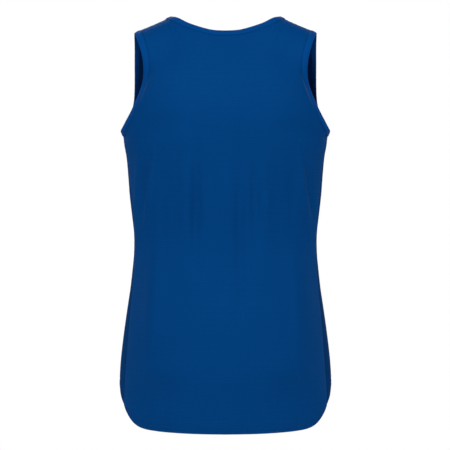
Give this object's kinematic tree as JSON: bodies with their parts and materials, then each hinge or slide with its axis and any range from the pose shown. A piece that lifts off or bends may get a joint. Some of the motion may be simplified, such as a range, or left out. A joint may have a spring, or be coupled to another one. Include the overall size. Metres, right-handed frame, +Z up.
{
  "type": "running singlet",
  "caption": "Sleeveless running singlet in plain royal blue knit, filled out as when worn: low round front neck, bound edges, wrapped side seams and a curved drop-tail hem.",
  "frame": {"origin": "midway between the two shoulder seams, where the wearer's shoulders hold the garment up", "axes": "+X to the wearer's left, -Y the way the wearer faces, +Z up"},
  "size_m": [0.3696, 0.2505, 0.7192],
  "materials": {
    "body_knit": "royal blue micro-perforated polyester knit with a soft sheen",
    "binding_knit": "smooth bright royal blue knit binding, coverstitched"
  },
  "bodies": {
    "root": {"back_panel": "body_knit", "front_panel": "body_knit", "neck_binding": "binding_knit", "armhole_binding_left": "binding_knit", "armhole_binding_right": "binding_knit"}
  },
  "joints": []
}
